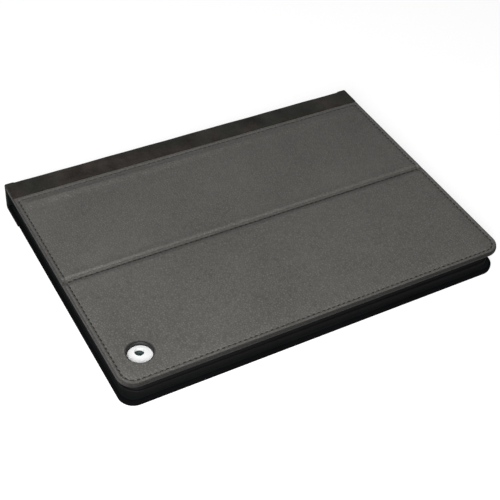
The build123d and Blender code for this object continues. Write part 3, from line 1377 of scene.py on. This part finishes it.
@dataclass
class PaddedBack:
    """The grey leather of the back, from the free edge over the fold to the seam, edges and stitches."""

    palette: Palette
    plate_overlap: float = 1.5 * MM
    edge_bulge: float = 0.15 * MM
    edge_lift: float = 0.36 * MM
    edge_radii: tuple[float, float] = (2.2 * MM, 0.52 * MM)
    # painted shade of the turned edges: where it starts under their top and where it is full above their
    # bottom, then its depth at the top of the sides and of the free edge
    edge_fade: tuple[float, float] = (0.3 * MM, 1.2 * MM)
    edge_shades: tuple[float, float] = (0.10, 0.80)
    fold_bend: tuple[float, float] = (0.1 * MM, 1.7 * MM)
    turned_skin: tuple[tuple[float, float], ...] = ((0.04, 0.84), (0.16, 0.93), (0.42, 0.99), (1.20, 1.02))
    sleeve_drop: float = 0.85 * MM
    sleeve_wall: float = 0.35 * MM
    sleeve_gap: float = 0.02 * MM
    row_stops: tuple[float, float] = (2.6 * MM, 2.2 * MM)
    seam_stop: float = 1.0 * MM
    fold_row: float = 0.45 * MM
    fold_row_inset: float = 1.4 * MM
    seam_row_inset: float = 3.5 * MM

    def __post_init__(self) -> None:
        """Sets the leather out from the frame's skins, stitching and camera plate."""
        skin_low, skin_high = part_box("back_skin")
        plate_low, plate_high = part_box("camera_plate")
        centre = (plate_low + plate_high) / 2
        self.hole = Hole(centre.x, centre.y, (plate_high.x - plate_low.x) / 2 - self.plate_overlap)
        self.outline = Outline(
            skin_low.x, skin_high.x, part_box("flap_skin")[0].y, skin_high.y - SEAM_SHIFT, CORNER
        )
        self.fold = skin_low.y
        self.panel = PaddedPanel(
            "back_leather",
            self.outline,
            skin_high.z,
            Facing.UP,
            skin_high.z - skin_low.z,
            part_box("flap_stitching")[0].x - skin_low.x,
            fold=self.fold,
            hole=self.hole,
            wrap=tuple((out * MM, depth * MM) for out, depth in self.turned_skin),
        )

    def build(self) -> None:
        """Builds the leather, the two turned edges and the stitching."""
        leather = self.palette.dress(self.panel.build(), "leather")
        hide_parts("back_skin", "flap_skin")
        self.fold - self.fold_bend[0]
        self.fold - self.fold_bend[1]
        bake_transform(leather)
        LOG.info("back leather: %d faces", len(leather.data.polygons))
        self._turned_edges()
        self._sleeve()
        self._stitching()

    def _turned_edges(self) -> None:
        """The rolled leather under the outer skin, on the flap and on the fixed half, with painted shade
        that deepens downwards and at the free edge.
        """
        side_shade, free_shade = self.edge_shades
        edges = (
            ("flap_backing", "stand_flap", CORNER, free_shade),
            ("back_backing", "back", 0.0, side_shade),
        )
        for node, body, corner, front_shade in edges:
            low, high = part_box(node)
            bulge = self.edge_bulge
            from_corner = low - Vector((bulge, bulge if corner else 0.0, 0))
            to_corner = high + Vector((bulge, 0, self.edge_lift))
            piece = rounded_block(node + "_edge", from_corner, to_corner, corner, self.edge_radii, 6)
            if corner:
                punch(piece, self.hole, self.hole.radius)
            top = high.z + self.edge_lift - self.edge_fade[0]
            # painted shade on the turned edge, deeper downwards and at the free edge, over a darker copy of
            # the leather
            paint_shade_downwards(piece, top, low.z + self.edge_fade[1], (side_shade, front_shade, 1.0))
            self.palette.dress(piece, "leather", "shaded_turned_leather")
            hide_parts(node)
            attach(piece, body)
            LOG.info("%s: turned edge", node)

    def _sleeve(self) -> None:
        """The sleeve that lines the camera hole from the leather's rim to the flap's underside, near-black
        for the hole's dark edge and the painted shade on its wall.
        """
        hole, gap = self.hole, self.sleeve_gap
        levels = (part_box("flap_backing")[0].z + gap, self.panel.level - self.sleeve_drop - gap)
        draft = drum("camera_hole_sleeve", hole, levels, hole.radius - gap, end_fill_type="NOTHING")
        sleeve = draft.done(35)
        wall = sleeve.modifiers.new("wall", "SOLIDIFY")
        wall.thickness = self.sleeve_wall
        wall.offset = -1.0
        bpy.ops.object.modifier_apply(modifier=wall.name)
        # near-black: the hole's dark edge, and painted shade on its wall
        self.palette.dress(sleeve, "dark_thread")
        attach(sleeve, "stand_flap")

    def _stitching(self) -> None:
        """The border rows of the flap and the fixed half, the fold's row and the seam's fine row."""
        panel, outline, row = self.panel, self.outline, self.panel.row
        flap_stop, back_start = self.fold - self.row_stops[0], self.fold + self.row_stops[1]
        sewer = Seamstress()
        flap = sewer.sew("flap_stitches", panel, [border_line(outline, row, flap_stop)])
        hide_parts("flap_stitching")
        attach(self.palette.dress(flap, "thread"), "stand_flap")
        sides = [
            np.column_stack([np.full(2, x), (back_start, outline.y1 - self.seam_stop)])
            for x in (outline.x0 + row, outline.x1 - row)
        ]
        inset = self.fold_row_inset
        fold_row = straight_line(outline.x0 + inset, outline.x1 - inset, self.fold + self.fold_row)
        fixed = sewer.sew("back_stitches", panel, [*sides, fold_row])
        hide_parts("back_stitching")
        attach(self.palette.dress(fixed, "thread"), "back")
        fine = Seamstress(length=2.5 * MM, width=0.36 * MM, depth=0.3 * MM, slant=2.0)
        inset, seam_y = self.seam_row_inset, outline.y1 - panel.relief.rear_groove.at * MM
        seam_row = straight_line(outline.x0 + inset, outline.x1 - inset, seam_y)
        seam = fine.sew("seam_stitches", panel, [seam_row])
        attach(self.palette.dress(seam, "thread"), "back")
        LOG.info("stitching: flap, fixed half and seam")


@dataclass
class SuedeWrap:
    """The suede that wraps the spine, in two lengths that meet half way down it."""

    palette: Palette
    hem: float = 6.0 * MM
    hem_rise: float = 0.42 * MM
    hem_step: Slope = Slope(-0.9, 0.5)
    end_roll: float = 0.7 * MM
    end_roll_share: float = 0.9
    end_lines: tuple[float, ...] = (0, 0.15, 0.4, 0.8, 1.6, 3.0, 4.6, 5.4, 6.0, 6.5, 7.2)
    ripples: tuple[tuple[float, float, float], ...] = ((0.05 * MM, 95.0, 0.0), (0.04 * MM, 211.0, 1.3))
    thickness: float = 1.05 * MM
    bend: float = 1.8 * MM
    bend_steps: int = 8
    rear_steps: int = 6
    step: float = 1.6 * MM
    long_step: float = 3.0 * MM
    top_gap: float = 0.12 * MM
    seam_gap: float = 0.05 * MM
    skim: float = 0.02 * MM
    crease_reach: tuple[float, float] = (3.0 * MM, 1.0 * MM)
    ripple_reach: float = 12.0 * MM
    lining_gap: float = 0.05 * MM
    lining_inset: float = 0.45 * MM
    lining_edge: float = 0.3 * MM
    cover_end: float = 1.9 * MM
    cover_end_edge: float = 0.6 * MM
    cover_end_gap: float = 0.1 * MM

    def __post_init__(self) -> None:
        """Reads the spine's place from the frame."""
        self.low, self.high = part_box("spine_suede")
        self.rear = self.high.y

    def build(self) -> None:
        """Builds the upper and the lower length, and the turned ends under the cover."""
        middle = (self.low.z + self.high.z) / 2
        back_low, back_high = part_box("back_suede")
        seam = back_low.y + self.seam_gap - SEAM_SHIFT
        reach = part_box("cover_suede")[0].y
        top, bottom = self.high.z - self.top_gap, self.low.z
        upper = self._length("suede_upper", seam, top, middle, -1)
        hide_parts("back_suede", "spine_suede")
        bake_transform(upper)
        lower = self._length("suede_lower", reach, bottom, middle, 1)
        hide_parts("cover_suede", "spine_suede")
        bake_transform(lower)
        LOG.info("suede: seam at y %.4f, under the cover to y %.4f", seam, reach)
        self._cover_ends(reach)
        self._lining()

    def _profile(self, start: float, flat: float, middle: float, way: int) -> tuple[Points, Points]:
        """Outer line of one length in the YZ plane, and its outward directions.

        Args:
            start: Y where the flat stretch starts.
            flat: Z of the flat stretch.
            middle: Z where the two lengths meet.
            way: -1 if the spine runs down from the flat stretch, 1 if it runs up.

        Returns:
            The line's points and their outward directions.
        """
        r = self.bend
        ys = spaced(start, self.rear - r, self.step)
        turn = np.linspace(0, math.pi / 2, self.bend_steps + 1)[1:]
        zs = spaced(0, 1, 1 / self.rear_steps)[1:]
        end = flat + way * r
        points = [(y, flat) for y in ys]
        points += [(self.rear - r + r * math.sin(a), end - way * r * math.cos(a)) for a in turn]
        points += [(self.rear, end + (middle - end) * s) for s in zs]
        line = np.array(points)
        along = np.gradient(line, axis=0)
        out = np.column_stack([-along[:, 1], along[:, 0]]) * (1 if way < 0 else -1)
        return line, out / np.linalg.norm(out, axis=1)[:, None]

    def _length(self, name: str, start: float, flat: float, middle: float, way: int) -> bpy.types.Object:
        """One length of suede; the upper length has a folded hem at each end.

        Args:
            name: the piece's name.
            start: Y where the flat stretch starts.
            flat: Z of the flat stretch.
            middle: Z where the two lengths meet.
            way: -1 if the spine runs down from the flat stretch, 1 if it runs up.

        Returns:
            The length, as a closed sheet.
        """
        line, out = self._profile(start, flat, middle, way)
        x0, x1 = self.low.x, self.high.x
        edge = np.array(self.end_lines) * MM
        xs = joined(x0 + edge, spaced(x0 + edge[-1], x1 - edge[-1], self.long_step), x1 - edge)
        near = np.minimum(xs - x0, x1 - xs)
        lift = np.full(len(xs), -self.skim)
        if way < 0:
            lift += self.hem_rise * (1 - self.hem_step.over(near - self.hem))
            lift -= quarter_round(near, self.end_roll) * self.end_roll_share
            waves = sum(rise * np.sin(xs * pace + start) for rise, pace, start in self.ripples)
            lift += waves * ease(0, self.ripple_reach, near)
        sheets = []
        for offset in (lift[:, None], np.full((len(xs), 1), -self.thickness)):
            y = line[None, :, 0] + out[None, :, 0] * offset
            z = line[None, :, 1] + out[None, :, 1] * offset
            sheets.append(np.stack([np.broadcast_to(xs[:, None], y.shape), y, z], axis=-1))
        shell = Shell()
        grids = [shell.add(sheet.reshape(-1, 3)).reshape(sheet.shape[:2]) for sheet in sheets]
        for grid, flip in zip(grids, (False, True)):
            shell.cells(grid, flip)
        rims = [np.concatenate([g[:-1, 0], g[-1, :-1], g[:0:-1, -1], g[0, :0:-1]]) for g in grids]
        shell.strips(rims, True)
        faces = [face[::-way] for face in shell.faces]
        return self.palette.dress(mesh_piece(name, np.vstack(shell.places), faces, 45), "suede")

    def _lining(self) -> None:
        """The lining of the spine's inner face, drawn out over the board to both ends."""
        low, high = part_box("spine_lining")
        corner_low = Vector((self.low.x + self.lining_inset, low.y, low.z))
        rear = self.rear - self.thickness - self.lining_gap
        corner_high = Vector((self.high.x - self.lining_inset, rear, high.z))
        edges = (self.lining_edge, self.lining_edge)
        sheet = rounded_block("spine_inner_lining", corner_low, corner_high, 0.0, edges)
        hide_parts("spine_lining", "spine_board")
        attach(self.palette.dress(sheet, "microfibre"), "spine")

    def _cover_ends(self, reach: float) -> None:
        """The suede turned up round the cover's edge at both ends of the spine.

        Args:
            reach: Y where it starts, under the cover.
        """
        low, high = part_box("cover_suede")
        for side, name in ((low.x, "cover_suede_end_left"), (high.x, "cover_suede_end_right")):
            inner = side - math.copysign(self.cover_end, side)
            corner_low = Vector((min(side, inner), reach, low.z + self.cover_end_gap))
            corner_high = Vector((max(side, inner), high.y, high.z))
            edges = (self.cover_end_edge, self.cover_end_edge)
            piece = rounded_block(name, corner_low, corner_high, 0.0, edges)
            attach(self.palette.dress(piece, "nubuck"), "front_cover")


@dataclass
class FrontCover:
    """The nubuck outside of the front cover, turned up over its board, with its stitching."""

    palette: Palette
    corner: float = 9.4 * MM
    thickness: float = 1.0 * MM
    sink: float = 0.2 * MM
    side: tuple[tuple[float, float], ...] = ((-0.10, 1.3), (-0.16, 1.9))
    turned_lip: tuple[tuple[float, float], ...] = (
        (-0.14, 1.1), (-0.04, 0.6), (0.20, 0.25), (0.55, 0.06), (1.40, 0.0)
    )
    row_shift: float = 0.3 * MM
    row_stop: float = 1.5 * MM

    def build(self) -> None:
        """Builds the cover's skin and stitches."""
        low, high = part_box("cover_skin")
        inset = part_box("cover_stitching")[0].x - low.x
        panel = PaddedPanel(
            "cover_leather",
            Outline(low.x, high.x, low.y, high.y, self.corner),
            low.z,
            Facing.DOWN,
            self.thickness,
            inset,
            wrap=tuple((out * MM, depth * MM) for out, depth in self.side)
            + tuple((out * MM, high.z - low.z - up * MM) for out, up in self.turned_lip),
            sink=self.sink,
            relief=Relief(crown=Slope(0.3, 5.0, 0.20)),
            sewn_to_suede=False,
            grid_step=2.6 * MM,
        )
        skin = self.palette.dress(panel.build(), "nubuck")
        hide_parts("cover_skin")
        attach(skin, "front_cover")
        line = border_line(panel.outline, inset + self.row_shift, high.y - self.row_stop)
        stitches = Seamstress().sew("cover_stitches", panel, [line])
        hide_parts("cover_stitching")
        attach(self.palette.dress(stitches, "dark_thread"), "front_cover")
        LOG.info("front cover: %d faces", len(skin.data.polygons))


@dataclass
class CameraLens:
    """The dark window over the lens, with a stepped bezel, and the pale disc round it."""

    palette: Palette
    bezel: float = 0.45 * MM
    bezel_step: float = 0.2 * MM
    ledge: float = 0.25 * MM
    dome: float = 0.9 * MM
    dome_rise: float = 0.12 * MM
    disc_margin: float = 2.1 * MM
    disc_rise: float = 1.45 * MM
    disc_seat: float = 0.1 * MM
    disc_edge: float = 0.18 * MM
    lens_lap: float = 0.05 * MM

    def build(self) -> None:
        """Builds the window from a disc: rim, step and shallow dome."""
        low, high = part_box("camera_window")
        centre, radius = (low + high) / 2, (high.x - low.x) / 2
        draft = drum("camera_lens", centre, (low.z, high.z), radius, 48)
        draft.select(lambda p: p.z > centre.z, "FACE")
        bpy.ops.mesh.inset(thickness=self.bezel)
        bpy.ops.transform.translate(value=(0, 0, -self.bezel_step))
        bpy.ops.mesh.inset(thickness=self.ledge)
        bpy.ops.mesh.inset(thickness=self.dome)
        bpy.ops.transform.translate(value=(0, 0, self.dome_rise))
        lens = self.palette.dress(draft.done(35), "tinted_window")
        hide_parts("camera_window")
        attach(lens, "back")
        LOG.info("camera lens: radius %.4f", radius)
        self._disc(centre, radius)

    def _disc(self, lens: Vector, aperture: float) -> None:
        """The raised middle of the camera plate, which fills the flap's hole up to a step below its rim.

        Args:
            lens: centre of the lens.
            aperture: radius of the opening over it.
        """
        low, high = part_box("camera_plate")
        centre, radius = (low + high) / 2, (high.x - low.x) / 2 - self.disc_margin
        seat, top = high.z - self.disc_seat, high.z + self.disc_rise
        draft = drum("camera_disc", centre, (seat, top), radius)
        draft.select(lambda p: p.z > (seat + top) / 2, "EDGE")
        bpy.ops.mesh.region_to_loop()
        bpy.ops.mesh.bevel(offset=self.disc_edge, segments=3, affect="EDGES")
        disc = draft.done(EDGE_ANGLE)
        punch(disc, lens, aperture - self.lens_lap)
        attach(self.palette.dress(disc, "pale_metal"), "back")


# ------------------------------------------------------------------------------------ studio


@dataclass
class Studio:
    """Pale floor, soft lamps and the camera."""

    eye: Vector
    aim: Vector
    roll: float
    lens: float
    lamps: tuple[tuple[str, tuple[float, float, float], float, float], ...] = (
        ("key", (-0.35, -0.44, 0.40), 0.34, 6.7),
        ("rear", (-0.25, 0.85, 0.80), 0.9, 1.6),
    )
    floor_size: float = 6.0
    floor_gap: float = 0.02 * MM
    floor_glow: float = 0.80
    floor_tone: float = 0.35
    air: float = 0.15
    gloss_share: float = 0.28

    def build(self) -> None:
        """Builds the whole studio."""
        self._floor()
        self._world()
        for lamp in self.lamps:
            self._lamp(*lamp)
        self._camera()

    def _backdrop(self, recipe: Recipe) -> Value:
        """How much of the white backdrop a ray sees: all of it for camera and glass, less for gloss.

        Args:
            recipe: the nodes that the value joins.

        Returns:
            The share, from 0 to 1.
        """
        outputs = recipe.node("ShaderNodeLightPath", {}, {}).socket.node.outputs
        camera, gloss, glass = (
            Value(recipe, outputs[f"Is {kind} Ray"]) for kind in ("Camera", "Glossy", "Transmission")
        )
        return camera.larger(gloss * self.gloss_share).larger(glass)

    def _floor(self) -> None:
        """A white floor that keeps the object's shadow."""
        deselect()
        bpy.ops.mesh.primitive_plane_add(size=self.floor_size, location=(0, 0, -self.floor_gap))
        floor = bpy.context.object
        floor.name = "studio_floor"
        recipe = Recipe("studio_white")
        strength = self._backdrop(recipe) * self.floor_glow
        glow = recipe.node("ShaderNodeEmission", {}, {"Color": (1, 1, 1, 1), "Strength": strength})
        matt = recipe.node("ShaderNodeBsdfDiffuse", {}, {"Color": (*[self.floor_tone] * 3, 1)})
        both = recipe.node("ShaderNodeAddShader", {}, {0: glow, 1: matt})
        recipe.node("ShaderNodeOutputMaterial", {}, {"Surface": both})
        floor.data.materials.append(recipe.material)

    def _world(self) -> None:
        """Even soft light, white where the camera sees it."""
        recipe = Recipe("studio_air", "worlds")
        bpy.context.scene.world = recipe.material
        strength = recipe.levels(self._backdrop(recipe), 0.0, 1.0, self.air, 1.0)
        sky = recipe.node("ShaderNodeBackground", {}, {"Color": (1, 1, 1, 1), "Strength": strength})
        recipe.node("ShaderNodeOutputWorld", {}, {"Surface": sky})

    def _lamp(self, name: str, place: tuple[float, float, float], size: float, power: float) -> None:
        """A square soft lamp aimed at the case.

        Args:
            name: the lamp's name.
            place: where it hangs.
            size: length of its side.
            power: its power in watts.
        """
        data = bpy.data.lights.new(name, "AREA")
        data.shape = "SQUARE"
        data.size = size
        data.energy = power
        lamp = bpy.data.objects.new(name, data)
        lamp.location = place
        lamp.rotation_euler = (-Vector(place)).to_track_quat("-Z", "Y").to_euler()
        bpy.context.scene.collection.objects.link(lamp)

    def _camera(self) -> None:
        """The camera at its place, turned about its own axis by the roll."""
        data = bpy.data.cameras.new("camera")
        data.sensor_width = 36.0
        data.lens = self.lens
        data.clip_start, data.clip_end = 0.01, 20.0
        camera = bpy.data.objects.new("camera", data)
        camera.location = self.eye
        level = (self.aim - self.eye).to_track_quat("-Z", "Y")
        camera.rotation_euler = (level @ Euler((0, 0, self.roll)).to_quaternion()).to_euler()
        bpy.context.scene.collection.objects.link(camera)
        bpy.context.scene.camera = camera


def main() -> None:
    """Builds the case's looks and the studio."""
    logging.basicConfig(level=logging.INFO, format="%(name)s: %(message)s")
    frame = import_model()
    bpy.context.scene.view_settings.view_transform = "Standard"
    Studio(
        eye=Vector((-0.26434, -0.41740, 0.45704)),
        aim=Vector((-0.01549, -0.02643, 0.01920)),
        roll=math.radians(5.126),
        lens=77.76,
    ).build()
    palette = Palette()
    palette.dress_frame(frame)
    PaddedBack(palette).build()
    SuedeWrap(palette).build()
    FrontCover(palette).build()
    CameraLens(palette).build()


if __name__ == "__main__":
    main()
